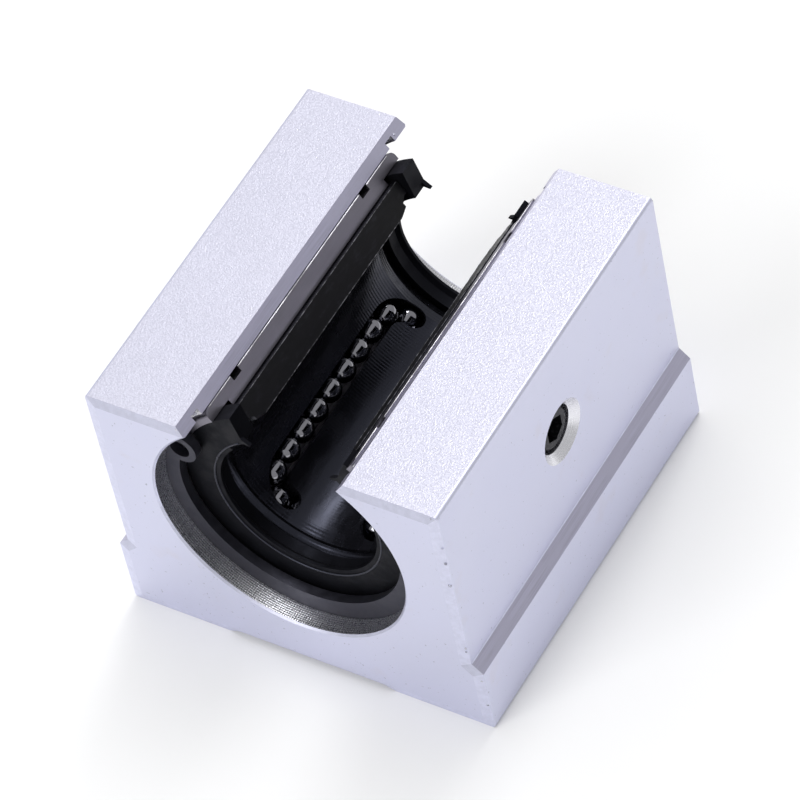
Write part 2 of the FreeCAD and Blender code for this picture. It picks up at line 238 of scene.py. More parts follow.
def drawn_slope(look):
    """The ledge's slope and the walls of the slot: darker, with lines along the extrusion."""
    finish = Finish("drawn_slope", look.slope, 1.0, 0.45)
    draw = finish.noise(0.2 * MILLIMETRE, 3.0, (1.0, 0.015, 1.0))
    patches = finish.noise(1.5 * MILLIMETRE, 3.0, (1.0, 0.3, 1.0))
    finish.bump(draw, 0.004 * MILLIMETRE)
    colour = finish.colours(finish.ramp(draw, 0.3, 0.7), shade(look.slope, 0.9), shade(look.slope, 1.08))
    colour = finish.colours(finish.ramp(patches, 0.35, 0.65), colour, shade(look.slope, 1.02))
    return finish.done(colour, finish.ramp(patches, 0.3, 0.7, 0.5, 0.38))


def turned_bore(look):
    """The machined bore: fine turning rings crossed by chatter, which together look like a hatch."""
    finish = Finish("turned_bore", look.machined, 1.0, 0.26)
    along = finish.axes()[1]
    across = finish.axes((0.0, 0.0, SHAFT_HEIGHT))
    turned = finish.maths("MULTIPLY", finish.maths("ARCTAN2", across[0], across[2]), BORE_RADIUS)
    rings = finish.waves(along, 0.28 * MILLIMETRE)
    chatter = finish.waves(turned, 0.3 * MILLIMETRE)
    grain = finish.noise(0.16 * MILLIMETRE, 3.0)
    worn = finish.noise(3.0 * MILLIMETRE, 2.0)
    finish.bump(rings, 0.019 * MILLIMETRE)
    finish.bump(chatter, 0.009 * MILLIMETRE)
    finish.bump(grain, 0.03 * MILLIMETRE)
    dots = finish.ramp(finish.maths("MULTIPLY", rings, chatter), 0.1, 0.6)
    colour = finish.colours(finish.maths("MULTIPLY", dots, worn), shade(look.machined, 0.7),
                            shade(look.machined, 1.16))
    return finish.done(colour, finish.ramp(grain, 0.3, 0.7, 0.23, 0.35))


def turned_countersink(look):
    """The countersink and hole of the set screw, with bright turning rings."""
    finish = Finish("turned_countersink", look.machined, 1.0, 0.25)
    across = finish.radius((0.0, 0.0, SCREW_HEIGHT), 1, 2)
    rings = finish.lines(across, 0.08 * MILLIMETRE, 3.0)
    chatter = finish.noise(0.25 * MILLIMETRE, 3.0)
    finish.bump(rings, 0.02 * MILLIMETRE)
    finish.bump(chatter, 0.015 * MILLIMETRE)
    colour = finish.colours(rings, shade(look.machined, 0.8), shade(look.machined, 1.05))
    return finish.done(colour, finish.ramp(chatter, 0.3, 0.7, 0.18, 0.36))


def tapped_wall(look):
    """The walls of the fixing holes, cut by drill and tap."""
    finish = Finish("tapped_wall", look.machined, 1.0, 0.35)
    up = finish.axes()[2]
    rings = finish.lines(up, 0.12 * MILLIMETRE, 3.0)
    swarf = finish.noise(0.3 * MILLIMETRE, 3.0)
    finish.bump(rings, 0.03 * MILLIMETRE)
    finish.bump(swarf, 0.02 * MILLIMETRE)
    colour = finish.colours(swarf, shade(look.machined, 0.75), look.machined)
    return finish.done(colour, finish.ramp(rings, 0.3, 0.7, 0.28, 0.42))


def ground_steel(look):
    """The hardened sleeve: ground satin steel with fine scratches along it."""
    finish = Finish("ground_steel", look.steel, 1.0, 0.34)
    along = finish.noise(0.12 * MILLIMETRE, 3.0, (1.0, 0.03, 1.0))
    patches = finish.noise(2.5 * MILLIMETRE, 3.0, (1.0, 0.4, 1.0))
    finish.bump(along, 0.003 * MILLIMETRE)
    colour = finish.colours(patches, shade(look.steel, 0.85), shade(look.steel, 1.12))
    return finish.done(colour, finish.ramp(along, 0.3, 0.7, 0.28, 0.42))


def polished_ball(look):
    """Hardened balls, polished and faintly oiled."""
    finish = Finish("polished_ball", look.ball, 1.0, 0.06)
    film = finish.noise(0.9 * MILLIMETRE, 3.0)
    dust = finish.ramp(finish.noise(0.12 * MILLIMETRE, 2.0), 0.66, 0.72)
    finish.bump(film, 0.002 * MILLIMETRE)
    colour = finish.colours(film, shade(look.ball, 0.85), shade(look.ball, 1.1))
    return finish.done(colour, finish.ramp(dust, 0.0, 1.0, 0.05, 0.22))


def moulded_resin(look):
    """The cage: glossy black resin with faint tool ribs round its bore."""
    finish = Finish("moulded_resin", look.resin, 0.0, 0.28, 0.5)
    along = finish.axes()[1]
    ribs = finish.waves(along, 0.42 * MILLIMETRE)
    ripple = finish.noise(1.6 * MILLIMETRE, 3.0, (1.0, 0.35, 1.0))
    finish.bump(ribs, 0.011 * MILLIMETRE)
    finish.bump(ripple, 0.02 * MILLIMETRE)
    colour = finish.colours(ripple, shade(look.resin, 0.8), shade(look.resin, 1.3))
    finish.gloss(look.sheen)
    return finish.done(colour, finish.ramp(ripple, 0.3, 0.7, 0.18, 0.32))


def cut_resin(look):
    """The cage's cut faces beside the slot: satin black with fine lines along them."""
    finish = Finish("cut_resin", look.resin, 0.0, 0.5, 0.2)
    draw = finish.noise(0.2 * MILLIMETRE, 3.0, (1.0, 0.04, 1.0))
    stains = finish.noise(0.9 * MILLIMETRE, 4.0, (1.0, 0.4, 1.0), 0.65)
    finish.bump(draw, 0.006 * MILLIMETRE)
    finish.bump(stains, 0.03 * MILLIMETRE)
    colour = finish.colours(finish.ramp(stains, 0.55, 0.75), look.resin, shade(look.resin, 2.6))
    return finish.done(colour, finish.ramp(stains, 0.35, 0.7, 0.55, 0.36))


def moulded_rubber(look):
    """The end seals: nearly matt black rubber with a fine moulded grain."""
    finish = Finish("moulded_rubber", look.rubber, 0.0, 0.5, 0.13)
    grain = finish.noise(0.12 * MILLIMETRE, 3.0)
    clouds = finish.noise(1.8 * MILLIMETRE, 3.0)
    finish.bump(grain, 0.008 * MILLIMETRE)
    finish.bump(clouds, 0.03 * MILLIMETRE)
    colour = finish.colours(clouds, shade(look.rubber, 0.8), shade(look.rubber, 1.4))
    finish.gloss(look.sheen)
    return finish.done(colour, finish.ramp(clouds, 0.3, 0.7, 0.4, 0.6))


def phosphated_spring(look):
    """The retaining rings: punched spring steel with a dark phosphate skin."""
    finish = Finish("phosphated_spring", look.phosphate, 0.85, 0.4)
    crystals = finish.grains(0.09 * MILLIMETRE)["Distance"]
    clouds = finish.noise(1.2 * MILLIMETRE, 3.0)
    finish.bump(crystals, 0.004 * MILLIMETRE)
    colour = finish.colours(clouds, shade(look.phosphate, 0.8), shade(look.phosphate, 1.3))
    return finish.done(colour, finish.ramp(clouds, 0.3, 0.7, 0.34, 0.5))


def oxide_screw(look):
    """The set screw: black oxide, worn a little at the rim and the socket's edge."""
    finish = Finish("oxide_screw", look.oxide, 0.8, 0.38)
    wear = finish.noise(0.35 * MILLIMETRE, 4.0)
    finish.bump(wear, 0.01 * MILLIMETRE)
    colour = finish.colours(finish.ramp(wear, 0.55, 0.75), look.oxide, shade(look.oxide, 3.0))
    return finish.done(colour, finish.ramp(wear, 0.3, 0.7, 0.32, 0.48))


def flash_edge(look):
    """Pale, ragged flash that cutting leaves on resin edges."""
    finish = Finish("flash_edge", look.flash, 0.0, 0.55)
    broken = finish.noise(0.7 * MILLIMETRE, 4.0, (1.0, 1.0, 1.0), 0.65)
    finish.bump(broken, 0.03 * MILLIMETRE)
    colour = finish.colours(finish.ramp(broken, 0.42, 0.6), look.resin, look.flash)
    return finish.done(colour, finish.ramp(broken, 0.3, 0.7, 0.65, 0.4))


def bright_edge(look):
    """Bare steel where the sleeve's cut meets its ground outside: burnished, and far lighter than the sleeve
    as a painted highlight along the edge.
    """
    finish = Finish("bright_edge", look.bright, 1.0, 0.3)
    dull = finish.noise(2.2 * MILLIMETRE, 4.0, (1.0, 0.5, 1.0), 0.6)
    finish.bump(finish.noise(0.2 * MILLIMETRE, 2.0, (1.0, 0.2, 1.0)), 0.01 * MILLIMETRE)
    colour = finish.colours(finish.ramp(dull, 0.35, 0.6), shade(look.bright, 0.35), look.bright)
    return finish.done(colour, finish.ramp(dull, 0.3, 0.7, 0.42, 0.24))


def rubber_edge_painted_highlight(look):
    """The smooth rounded rim of a seal, shinier than its faces, and lighter than the rubber as painted
    highlight.
    """
    # The rim's colour, three times the rubber's and mixed below from two to six times, is painted highlight.
    finish = Finish("rubber_edge_painted_highlight", shade(look.rubber, 3.0), 0.0, 0.3, 0.6)
    finish.gloss(look.sheen)
    waxy = finish.noise(0.8 * MILLIMETRE, 3.0)
    finish.bump(waxy, 0.01 * MILLIMETRE)
    colour = finish.colours(waxy, shade(look.rubber, 2.0), shade(look.rubber, 6.0))
    return finish.done(colour, finish.ramp(waxy, 0.3, 0.7, 0.24, 0.4))


def chip(look, name, colour, roughness):
    """Broken metal where an edge was knocked or left with a burr."""
    finish = Finish(name, colour, 0.9, roughness)
    broken = finish.noise(0.12 * MILLIMETRE, 4.0, (1.0, 1.0, 1.0), 0.7)
    finish.bump(broken, 0.05 * MILLIMETRE)
    mixed = finish.colours(finish.ramp(broken, 0.4, 0.6), shade(colour, 0.5), look.satin)
    return finish.done(mixed, finish.ramp(broken, 0.3, 0.7, roughness, 0.25))


# Sizes and colours that a user would change --------------------------------------------------------


class BearingLook(bpy.types.PropertyGroup):
    """Colours of the metals, the resin and the rubber."""

    aluminium: FloatVectorProperty(name="Land", description="Anodised top faces", subtype="COLOR",
                                   size=3, min=0, max=1, default=(0.585, 0.585, 0.685))
    satin: FloatVectorProperty(name="Satin", description="Anodised sides and ends", subtype="COLOR",
                               size=3, min=0, max=1, default=(0.685, 0.695, 0.835))
    stain: FloatVectorProperty(name="Stain", description="Faint oily stains on the sides", subtype="COLOR",
                               size=3, min=0, max=1, default=(0.66, 0.64, 0.72))
    slope: FloatVectorProperty(name="Slope", description="Ledge and slot walls", subtype="COLOR",
                               size=3, min=0, max=1, default=(0.53, 0.52, 0.655))
    # Grain: the lands' darker tone in the hollows of their lumps, partly real grain and partly painted shade.
    grain: FloatVectorProperty(name="Grain", description="Dull side of the lands' grain", subtype="COLOR",
                               size=3, min=0, max=1, default=(0.3, 0.3, 0.36))
    machined: FloatVectorProperty(name="Machined", description="Turned and drilled metal", subtype="COLOR",
                                  size=3, min=0, max=1, default=(0.86, 0.86, 0.91))
    steel: FloatVectorProperty(name="Steel", description="Hardened sleeve", subtype="COLOR",
                               size=3, min=0, max=1, default=(0.235, 0.225, 0.265))
    ball: FloatVectorProperty(name="Ball", description="Polished balls", subtype="COLOR",
                              size=3, min=0, max=1, default=(0.3, 0.3, 0.33))
    # Bright: bare metal of the burrs, and on the sleeve's edges also a painted highlight.
    bright: FloatVectorProperty(name="Bright", description="Burnished edges and burrs", subtype="COLOR",
                                size=3, min=0, max=1, default=(0.85, 0.84, 0.88))
    flash: FloatVectorProperty(name="Flash", description="Ragged flash on the cage", subtype="COLOR",
                               size=3, min=0, max=1, default=(0.15, 0.15, 0.17))
    nick: FloatVectorProperty(name="Nick", description="Dark nicks in the edges", subtype="COLOR",
                              size=3, min=0, max=1, default=(0.34, 0.34, 0.40))
    sheen: FloatVectorProperty(name="Sheen", description="Gloss on resin and rubber", subtype="COLOR",
                               size=3, min=0, max=1, default=(0.70, 0.74, 1.0))
    resin: FloatVectorProperty(name="Resin", description="Ball retainer", subtype="COLOR",
                               size=3, min=0, max=1, default=(0.005, 0.005, 0.0065))
    rubber: FloatVectorProperty(name="Rubber", description="End seals", subtype="COLOR",
                                size=3, min=0, max=1, default=(0.0035, 0.0035, 0.0045))
    phosphate: FloatVectorProperty(name="Phosphate", description="Retaining rings", subtype="COLOR",
                                   size=3, min=0, max=1, default=(0.05, 0.05, 0.066))
    oxide: FloatVectorProperty(name="Oxide", description="Set screw", subtype="COLOR",
                               size=3, min=0, max=1, default=(0.02, 0.02, 0.024))
    paper: FloatVectorProperty(name="Paper", description="Studio floor", subtype="COLOR",
                               size=3, min=0, max=1, default=(0.94, 0.94, 0.94))


class BearingSizes(bpy.types.PropertyGroup):
    """Sizes of the small forms that the finishing steps add."""

    thread_pitch: FloatProperty(name="Thread pitch", description="Pitch of the fixing holes' thread",
                                default=1.0 * MILLIMETRE, min=0.0001, unit="LENGTH")
    thread_height: FloatProperty(name="Thread height", description="How far a thread stands into its hole",
                                 default=0.32 * MILLIMETRE, min=0.00001, unit="LENGTH")
    flash_thickness: FloatProperty(name="Flash thickness", description="Half width of the cage's flash",
                                   default=0.04 * MILLIMETRE, min=0.00001, unit="LENGTH")
    edge_thickness: FloatProperty(name="Edge thickness", description="Half width of the sleeve's bright edge",
                                  default=0.09 * MILLIMETRE, min=0.00001, unit="LENGTH")
    rim_thickness: FloatProperty(name="Rim thickness", description="Half width of the seals' inner rims",
                                 default=0.14 * MILLIMETRE, min=0.00001, unit="LENGTH")
    fillet_thickness: FloatProperty(name="Fillet thickness", description="Half width of the ledge fillets",
                                    default=0.12 * MILLIMETRE, min=0.00001, unit="LENGTH")
    thread_turns: IntProperty(name="Thread turns", description="Turns of thread in each fixing hole",
                              default=10, min=1, max=30)


class BearingStudio(bpy.types.PropertyGroup):
    """Where the camera stands and how strong the lights are."""

    azimuth: FloatProperty(name="Azimuth", description="Camera's direction round the block",
                           default=math.radians(39.77), subtype="ANGLE")
    elevation: FloatProperty(name="Elevation", description="Camera's height above the horizon",
                             default=math.radians(49.21), subtype="ANGLE")
    roll: FloatProperty(name="Roll", description="Camera's turn about its own axis",
                        default=math.radians(-13.29), subtype="ANGLE")
    distance: FloatProperty(name="Distance", description="From the camera to its target",
                            default=0.6461, min=0.1, unit="LENGTH")
    target: FloatVectorProperty(name="Target", description="The point that the camera looks at",
                                size=3, default=(0.00042, 0.00048, 0.0186), subtype="XYZ")
    lens: FloatProperty(name="Lens", description="Focal length in millimetres", default=256.12, min=20,
                        unit="CAMERA")
    sky: FloatProperty(name="Sky", description="Strength of the even light all round", default=0.56, min=0)
    lamp_distance: FloatProperty(name="Lamp distance", description="From the lamps to the block",
                                 default=1.6, min=0.3, unit="LENGTH")


# Which face has which finish -----------------------------------------------------------------------

SQUARE = 0.99  # a face is square to an axis where its normal has more than this along it
FIXING_MOUTH = 3.1 * MILLIMETRE
FIXING_REACH = 16.0 * MILLIMETRE
COUNTERSINK_MOUTH = 4.1 * MILLIMETRE
GROOVE_REACH = 17.0 * MILLIMETRE
CAGE_CUT_REACH = 8.0 * MILLIMETRE


def housing_face(middle, normal):
    """The housing's finish at a face, from the face's middle and its normal."""
    x, y, z = middle
    from_shaft = math.hypot(x, z - SHAFT_HEIGHT)
    from_screw = math.hypot(y, z - SCREW_HEIGHT)
    from_fixing = math.hypot(abs(x) - FIXING_PLACE, abs(y) - FIXING_PLACE)
    outward = (x * normal.x + (z - SHAFT_HEIGHT) * normal.z) / max(from_shaft, MILLIMETRE)
    if z < FIXING_REACH and from_fixing < FIXING_MOUTH and abs(normal.z) < SQUARE:
        return "fixing"
    if x > 0.95 * BORE_RADIUS and from_screw < COUNTERSINK_MOUTH and normal.x < 0.95:
        return "countersink"
    if from_shaft < GROOVE_REACH and (outward < -0.9 or abs(normal.y) > SQUARE):
        return "bore"
    if normal.z > SQUARE:
        return "land"
    if 0.1 < abs(normal.y) < SQUARE:
        # Bevels tilted upward take a darker copy of the bevel finish, as painted shade.
        return "upper_bevel_painted_shade" if normal.z > 0.1 else "bevel"
    slot_wall = z > SHAFT_HEIGHT and 0.3 < abs(normal.x) < 0.95 and x * normal.x < 0
    ledge = z < 0.5 * BLOCK_HIGH.z and 0.3 < normal.z < 0.9
    return "slope" if slot_wall or ledge else "satin"


def cage_face(middle, normal):
    """The cage's finish at a face: cut beside the slot, moulded elsewhere."""
    x, _, z = middle
    above = z - SHAFT_HEIGHT
    outward = (x * normal.x + above * normal.z) / math.hypot(x, above)
    beside_slot = above > 0.0 and abs(x) < CAGE_CUT_REACH
    faces_slot = abs(normal.y) < 0.1 and abs(outward) < 0.3
    return "cut" if beside_slot and faces_slot else "moulded"


def dress(name, *finishes):
    """Gives a CAD node its materials, the first on every face."""
    node = NODES[name]
    node.data.materials.clear()
    for finish in finishes:
        node.data.materials.append(finish)
    return node


def dress_faces(name, finishes, choose):
    """Gives a CAD node several finishes, and each face the one that a rule names."""
    order = list(finishes)
    for face in dress(name, *finishes.values()).data.polygons:
        face.material_index = order.index(choose(face.center, face.normal))


# Modelling steps -----------------------------------------------------------------------------------

BEAD_SIDES = 8
BEAD_STEPS = 160
THREAD_STEPS = 28
THREAD_START = 0.7 * MILLIMETRE
THREAD_SINK = 0.02 * MILLIMETRE
MERGE_DISTANCE = 0.001 * MILLIMETRE
RAGGED_GRAIN = 0.9 * MILLIMETRE


def active(context):
    """The piece that the last primitive made."""
    return context.view_layer.objects.active


def close_ends():
    """Caps the open ends of the piece in edit mode, turns its faces outward and leaves edit mode."""
    bpy.ops.mesh.select_all(action="SELECT")
    bpy.ops.mesh.fill_holes(sides=0)
    bpy.ops.mesh.select_all(action="SELECT")
    bpy.ops.mesh.normals_make_consistent(inside=False)
    bpy.ops.object.mode_set(mode="OBJECT")


def copied(context, piece, name):
    """A copy of a piece, with its own mesh."""
    bpy.ops.object.select_all(action="DESELECT")
    piece.select_set(True)
    context.view_layer.objects.active = piece
    bpy.ops.object.duplicate()
    twin = active(context)
    twin.name = name
    return twin


def cut_thread(context, name, sizes):
    """One helical ridge that stands into a hole, from just inside its mouth upwards."""
    half = 0.42 * sizes.thread_pitch
    root = FIXING_RADIUS + THREAD_SINK
    crest = FIXING_RADIUS - sizes.thread_height
    middle = THREAD_START + half
    bpy.ops.object.select_all(action="DESELECT")
    bpy.ops.mesh.primitive_plane_add(size=1.0, location=(0.0, 0.0, 0.0), rotation=(math.pi / 2, 0.0, 0.0))
    ridge = active(context)
    ridge.name = name
    bpy.ops.object.transform_apply(location=True, rotation=True, scale=True)
    bpy.ops.object.mode_set(mode="EDIT")
    bpy.ops.mesh.select_all(action="SELECT")
    bpy.ops.transform.resize(value=(root - crest, 1.0, 2.0 * half), center_override=(0.0, 0.0, 0.0))
    bpy.ops.transform.translate(value=(0.5 * (root + crest), 0.0, middle))
    bpy.ops.mesh.select_all(action="DESELECT")
    bpy.ops.object.mode_set(mode="OBJECT")
    for corner in ridge.data.vertices:
        corner.select = corner.co.x < FIXING_RADIUS
    bpy.ops.object.mode_set(mode="EDIT")
    bpy.ops.transform.resize(value=(1.0, 1.0, 0.25), center_override=(crest, 0.0, middle))
    bpy.ops.mesh.select_all(action="SELECT")
    bpy.ops.mesh.delete(type="ONLY_FACE")
    bpy.ops.object.mode_set(mode="OBJECT")
    screw = ridge.modifiers.new("thread", "SCREW")
    screw.axis = "Z"
    screw.angle = 2.0 * math.pi
    screw.screw_offset = sizes.thread_pitch
    screw.iterations = sizes.thread_turns
    screw.steps = screw.render_steps = THREAD_STEPS
    bpy.ops.object.modifier_apply(modifier=screw.name)
    bpy.ops.object.mode_set(mode="EDIT")
    bpy.ops.mesh.select_all(action="SELECT")
    bpy.ops.mesh.remove_doubles(threshold=MERGE_DISTANCE)
    close_ends()
    return ridge


def round_bead(context, name, radius, along, thickness, turn=0.0, length=0.0, wobble=0.0):
    """A thin round bead at a radius, swept round the bore by a turn or drawn out along it."""
    facing = (0.0, math.pi / 2, 0.0) if turn else (math.pi / 2, 0.0, 0.0)
    bpy.ops.object.select_all(action="DESELECT")
    bpy.ops.mesh.primitive_circle_add(vertices=BEAD_SIDES, radius=thickness, rotation=facing,
                                      location=(0.0, along, radius))
    bpy.ops.object.transform_apply(location=True, rotation=True, scale=True)
    bead = active(context)
    bead.name = name
    sweep = bead.modifiers.new("sweep", "SCREW")
    sweep.axis = "Y"
    sweep.angle = turn
    sweep.screw_offset = length
    sweep.steps = sweep.render_steps = BEAD_STEPS
    bpy.ops.object.modifier_apply(modifier=sweep.name)
    bpy.ops.object.mode_set(mode="EDIT")
    close_ends()
    if wobble:
        roughen(bead, wobble, RAGGED_GRAIN)
    return bead


def roughen(piece, depth, grain):
    """Pushes a piece's surface in and out by a depth, in lumps of a size."""
    clouds = bpy.data.textures.new(f"{piece.name}_lumps", "CLOUDS")
    clouds.noise_scale = grain
    lumps = piece.modifiers.new("lumps", "DISPLACE")
    lumps.texture = clouds
    lumps.texture_coords = "LOCAL"
    lumps.strength = depth
    lumps.mid_level = 0.5
    bpy.ops.object.modifier_apply(modifier=lumps.name)


def chipped_edges(context, name, places, finish):
    """One piece of small broken lumps, each sunk into an edge of the housing."""
    lumps = []
    for number, (x, y, z, radius) in enumerate(places):
        bpy.ops.object.select_all(action="DESELECT")
        bpy.ops.mesh.primitive_ico_sphere_add(subdivisions=3, radius=radius * MILLIMETRE,
                                              location=(0.0, 0.0, 0.0))
        lump = active(context)
        bpy.ops.transform.resize(value=(1.0, 0.7, 0.8))
        bpy.ops.transform.rotate(value=0.9 * number, orient_axis="Z", center_override=(0.0, 0.0, 0.0))
        bpy.ops.object.transform_apply(location=True, rotation=True, scale=True)
        lump.data.transform(Matrix.Translation(Vector((x, y, z)) * MILLIMETRE))
        roughen(lump, 0.5 * radius * MILLIMETRE, 0.5 * radius * MILLIMETRE)
        lumps.append(lump)
    bpy.ops.object.select_all(action="DESELECT")
    for lump in lumps:
        lump.select_set(True)
    bpy.ops.object.join()
    piece = active(context)
    piece.name = name
    for vertex in piece.data.vertices:
        vertex.co = [min(max(value, low), high) for value, low, high in zip(vertex.co, BLOCK_LOW, BLOCK_HIGH)]
    settle(piece, finish)


def move(piece, across, along, up):
    """Moves a piece's mesh, with its object left at the origin."""
    piece.data.transform(Matrix.Translation((across, along, up)))


def turn_to(piece, angle):
    """Turns a piece made over the bore's axis to its angle and lifts it to the shaft's height."""
    piece.data.transform(Matrix.Translation((0.0, 0.0, SHAFT_HEIGHT)) @ Matrix.Rotation(angle, 4, "Y"))


def settle(piece, finish, smooth=True):
    """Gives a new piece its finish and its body."""
    piece.data.materials.append(finish)
    if smooth:
        bpy.ops.object.select_all(action="DESELECT")
        piece.select_set(True)
        bpy.ops.object.shade_smooth()
    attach(piece, "root")


# Operators -----------------------------------------------------------------------------------------


class BEARING_OT_housing(bpy.types.Operator):
    """Finish the aluminium housing face by face"""

    bl_idname = "bearing.housing"
    bl_label = "Finish housing block"

    def execute(self, context):
        look = context.scene.bearing_look
        finishes = {"satin": satin_face(look), "land": rolled_land(look),
                    "bevel": end_bevel(look, "end_bevel", 1.02), "slope": drawn_slope(look),
                    "bore": turned_bore(look), "countersink": turned_countersink(look),
                    # The upward bevels' tone of 0.86, against 1.02 for the others, is painted shade.
                    "fixing": tapped_wall(look), "upper_bevel_painted_shade": end_bevel(look, "upper_bevel_painted_shade", 0.86)}
        dress_faces("housing_block", finishes, housing_face)
        return {"FINISHED"}


class BEARING_OT_fixing_threads(bpy.types.Operator):
    """Cut a thread in each of the four fixing holes"""

    bl_idname = "bearing.fixing_threads"
    bl_label = "Thread fixing holes"

    def execute(self, context):
        finish = tapped_wall(context.scene.bearing_look)
        first = cut_thread(context, "fixing_thread_1", context.scene.bearing_sizes)
        threads = [first] + [copied(context, first, f"fixing_thread_{number}") for number in (2, 3, 4)]
        for thread, (side_x, side_y) in zip(threads, FIXING_CORNERS):
            move(thread, side_x * FIXING_PLACE, side_y * FIXING_PLACE, 0.0)
            settle(thread, finish, smooth=False)
        return {"FINISHED"}


# The ledge fillets' centre line: half its length, its place across and its height.
FILLET_REACH = 24.6 * MILLIMETRE
FILLET_ACROSS = 22.62 * MILLIMETRE
FILLET_HEIGHT = 11.2 * MILLIMETRE


class BEARING_OT_ledge_fillets(bpy.types.Operator):
    """Add the small fillet where each ledge meets the body"""

    bl_idname = "bearing.ledge_fillets"
    bl_label = "Fillet the ledges"

    def execute(self, context):
        finish = end_bevel(context.scene.bearing_look, "ledge_fillet", 1.1)
        left = round_bead(context, "ledge_fillet_left", 0.0, -FILLET_REACH,
                          context.scene.bearing_sizes.fillet_thickness, length=2.0 * FILLET_REACH)
        right = copied(context, left, "ledge_fillet_right")
        for bead, side in ((left, -1.0), (right, 1.0)):
            move(bead, side * FILLET_ACROSS, 0.0, FILLET_HEIGHT)
            settle(bead, finish)
        return {"FINISHED"}


# Places and radii of nicks and burrs on the housing's edges, in millimetres.
NICKS = ((22.42, -24.78, 31.9, 0.14), (22.34, -24.72, 29.2, 0.24), (22.32, -24.68, 25.3, 0.30),
         (22.40, -24.78, 13.4, 0.14), (11.2, 24.62, 36.74, 0.34), (12.3, 24.66, 36.76, 0.26),
         (14.0, 24.70, 36.78, 0.20), (19.6, 24.66, 36.76, 0.24), (21.2, 24.60, 36.72, 0.30),
         (22.4, 10.5, 36.6, 0.26), (22.42, -3.2, 36.58, 0.20), (-22.3, -24.6, 36.6, 0.24),
         (-12.2, 24.66, 36.76, 0.28), (-14.6, 24.68, 36.78, 0.22), (23.62, -24.70, 4.2, 0.22),
         (23.66, 24.62, 5.4, 0.26), (23.66, 24.66, 3.6, 0.24))
BURRS = ((22.22, -24.62, 36.62, 0.26), (21.7, -24.72, 36.70, 0.18), (-10.6, -24.70, 36.66, 0.22),
         (22.42, 1.3, 36.56, 0.15), (22.42, -9.6, 36.56, 0.15), (22.42, 15.5, 36.56, 0.15),
         (-10.3, -21.6, 36.0, 0.24), (-10.1, -20.9, 35.7, 0.18), (23.5, -21.6, 10.2, 0.16),
         (22.42, -24.72, 14.0, 0.20), (23.6, -24.70, 8.6, 0.22), (-10.1, 22.9, 36.2, 0.22))


class BEARING_OT_edge_wear(bpy.types.Operator):
    """Add the nicks and burrs on the housing's edges"""

    bl_idname = "bearing.edge_wear"
    bl_label = "Wear the edges"

    def execute(self, context):
        look = context.scene.bearing_look
        chipped_edges(context, "edge_nicks", NICKS, chip(look, "dark_nick", look.nick, 0.6))
        chipped_edges(context, "edge_burrs", BURRS, chip(look, "bright_burr", look.bright, 0.35))
        return {"FINISHED"}


class BEARING_OT_sleeve(bpy.types.Operator):
    """Finish the hardened steel sleeve"""

    bl_idname = "bearing.sleeve"
    bl_label = "Finish outer sleeve"

    def execute(self, context):
        dress("outer_sleeve", ground_steel(context.scene.bearing_look))
        return {"FINISHED"}


# The sleeve's bright edges: the angle of each cut, and where its lands between the grooves start and
# end along the bore, in millimetres.
SLEEVE_CUTS = (-36.6, 36.6)
SLEEVE_LANDS = ((-20.0, -15.3), (-13.6, 13.6), (15.3, 20.0))
SLEEVE_EDGE_RADIUS = 15.86 * MILLIMETRE


class BEARING_OT_sleeve_edges(bpy.types.Operator):
    """Add the sleeve cut's bright edges: burnished steel with a painted highlight along them"""

    bl_idname = "bearing.sleeve_edges"
    bl_label = "Burnish sleeve edges"

    def execute(self, context):
        # The beads' bright colour is partly burnished steel and partly a painted highlight along the cut's
        # edge.
        finish = bright_edge(context.scene.bearing_look)
        thickness = context.scene.bearing_sizes.edge_thickness
        for number, angle in enumerate(SLEEVE_CUTS, 1):
            for land, (low, high) in enumerate(SLEEVE_LANDS, 1):
                bead = round_bead(context, f"sleeve_edge_{number}_{land}", SLEEVE_EDGE_RADIUS,
                                  low * MILLIMETRE, thickness, length=(high - low) * MILLIMETRE,
                                  wobble=0.4 * thickness)
                turn_to(bead, math.radians(angle))
                settle(bead, finish)
        return {"FINISHED"}


class BEARING_OT_retainer(bpy.types.Operator):
    """Finish the resin cage"""

    bl_idname = "bearing.retainer"
    bl_label = "Finish ball retainer"

    def execute(self, context):
        look = context.scene.bearing_look
        dress_faces("ball_retainer", {"moulded": moulded_resin(look), "cut": cut_resin(look)}, cage_face)
        return {"FINISHED"}


# The cage's cut edges: the angle of each cut, and the radius and half length of its inner and outer
# edge, in millimetres.
CAGE_CUTS = (-33.0, 36.0)
CAGE_EDGES = ((10.2, 15.4), (13.5, 18.0))


class BEARING_OT_cage_flash(bpy.types.Operator):
    """Add the ragged flash along the cage's four cut edges"""

    bl_idname = "bearing.cage_flash"
    bl_label = "Add cage flash"

    def execute(self, context):
        finish = flash_edge(context.scene.bearing_look)
        thickness = context.scene.bearing_sizes.flash_thickness
        edges = [(angle, *edge) for angle in CAGE_CUTS for edge in CAGE_EDGES]
        for number, (angle, radius, reach) in enumerate(edges, 1):
            bead = round_bead(context, f"cage_flash_{number}", radius * MILLIMETRE, -reach * MILLIMETRE,
                              thickness, length=2.0 * reach * MILLIMETRE, wobble=2.0 * thickness)
            turn_to(bead, math.radians(angle))
            settle(bead, finish)
        return {"FINISHED"}


class BEARING_OT_balls(bpy.types.Operator):
    """Polish the balls of all circuits"""

    bl_idname = "bearing.balls"
    bl_label = "Finish balls"

    def execute(self, context):
        finish = polished_ball(context.scene.bearing_look)
        for name in NODES:
            if name.endswith("_balls"):
                dress(name, finish)
        return {"FINISHED"}


class BEARING_OT_seals(bpy.types.Operator):
    """Finish the rubber end seals"""

    bl_idname = "bearing.seals"
    bl_label = "Finish end seals"

    def execute(self, context):
        finish = moulded_rubber(context.scene.bearing_look)
        for end in ("front", "back"):
            dress(f"end_seal_{end}", finish)
        return {"FINISHED"}


# The seals' inner rims: radius, place along the bore, sweep, and how far the seals are turned.
RIM_RADIUS = 10.66 * MILLIMETRE
RIM_PLACE = 20.66 * MILLIMETRE
RIM_SWEEP = math.radians(284.0)
SEAL_TURN = math.radians(4.0)


